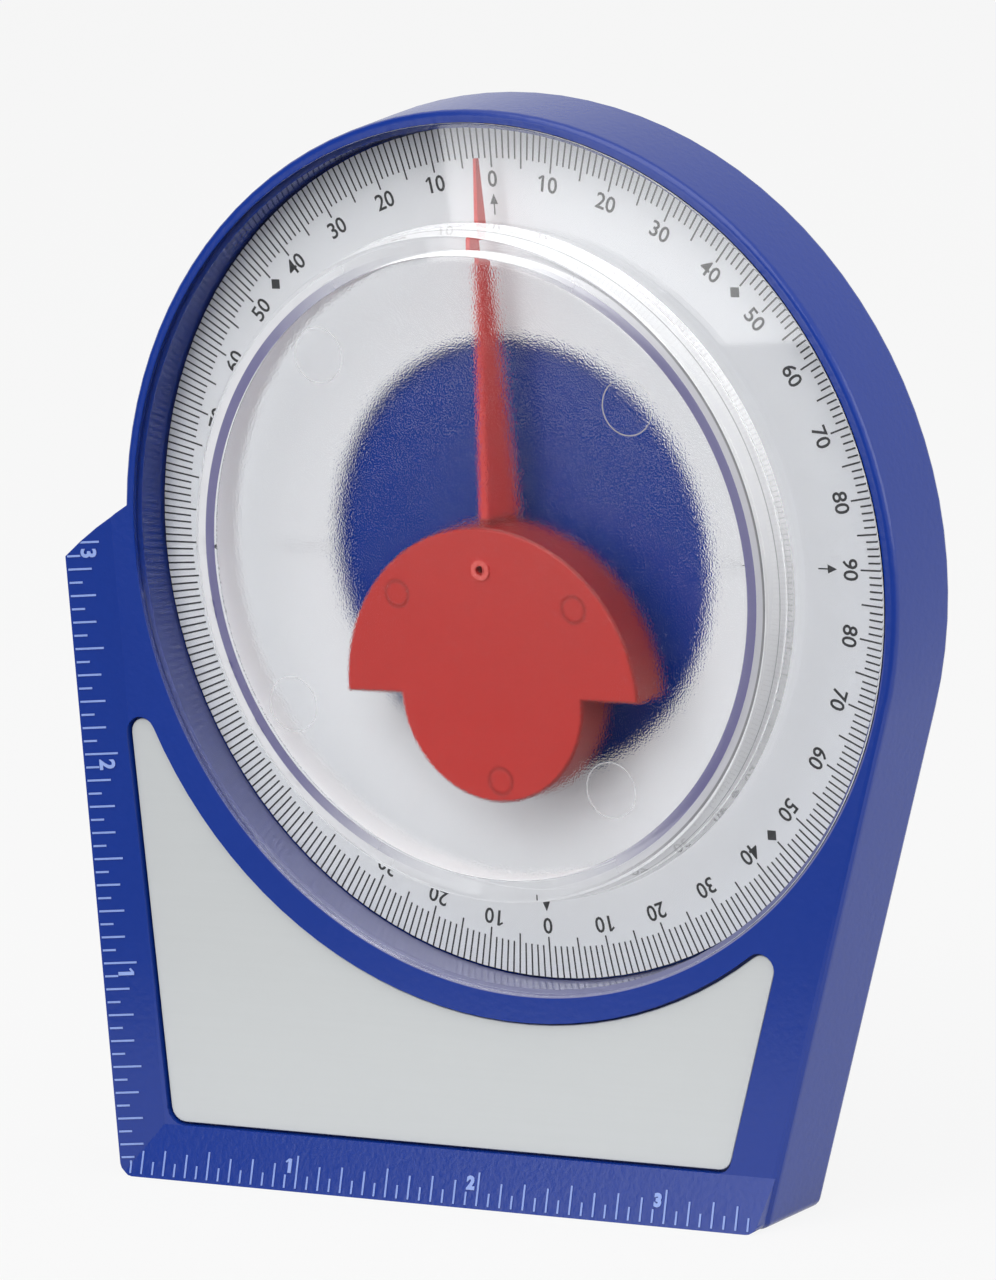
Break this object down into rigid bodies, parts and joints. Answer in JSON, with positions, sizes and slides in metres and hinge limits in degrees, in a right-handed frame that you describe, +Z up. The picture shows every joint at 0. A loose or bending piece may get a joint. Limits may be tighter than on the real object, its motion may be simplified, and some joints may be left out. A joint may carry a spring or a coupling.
{
  "type": "magnetic angle level",
  "caption": "Flat magnetic-base angle finder: a moulded case with two ruled edges, a round degree dial under a clear lens, and a weighted pendulum pointer that hangs plumb.",
  "frame": {"origin": "middle of the underside's bounding box, on the magnetic base", "axes": "+X to the right as the dial is read, +Y away from the reader to the back cover, +Z up from the magnetic base to the top of the dial"},
  "size_m": [0.1114, 0.016, 0.1282],
  "materials": {
    "blue_plastic": "moulded ABS, fine satin",
    "clear_plastic": "clear moulded polystyrene, frosted centre",
    "dial_card": "printed satin card",
    "red_plastic": "moulded, satin",
    "silver_plate": "satin foil plate, bare",
    "steel": "zinc plated",
    "brass": "turned",
    "nylon": "plain",
    "ferrite": "pressed ferrite"
  },
  "bodies": {
    "case": {"housing": "blue_plastic", "back_cover": "blue_plastic", "lens": "clear_plastic", "dial": "dial_card", "label_plate": "silver_plate", "pivot_pin": "steel", "pin_push_nut": "steel", "spacer_washer": "nylon", "pole_strip_front": "steel", "pole_strip_back": "steel", "magnet_left": "ferrite", "magnet_middle": "ferrite", "magnet_right": "ferrite", "cover_screw_lower_left": "steel", "cover_screw_lower_right": "steel", "cover_screw_upper_left": "steel", "cover_screw_upper_right": "steel"},
    "pendulum": {"pendulum": "red_plastic", "ballast_slug": "steel", "pivot_bush": "brass"}
  },
  "joints": [
    {"name": "pendulum_swing", "type": "hinge", "parent": "case", "child": "pendulum", "pos_m": [0.0033, -0.00345, 0.0758], "axis": [0, 1, 0], "continuous": true}
  ]
}
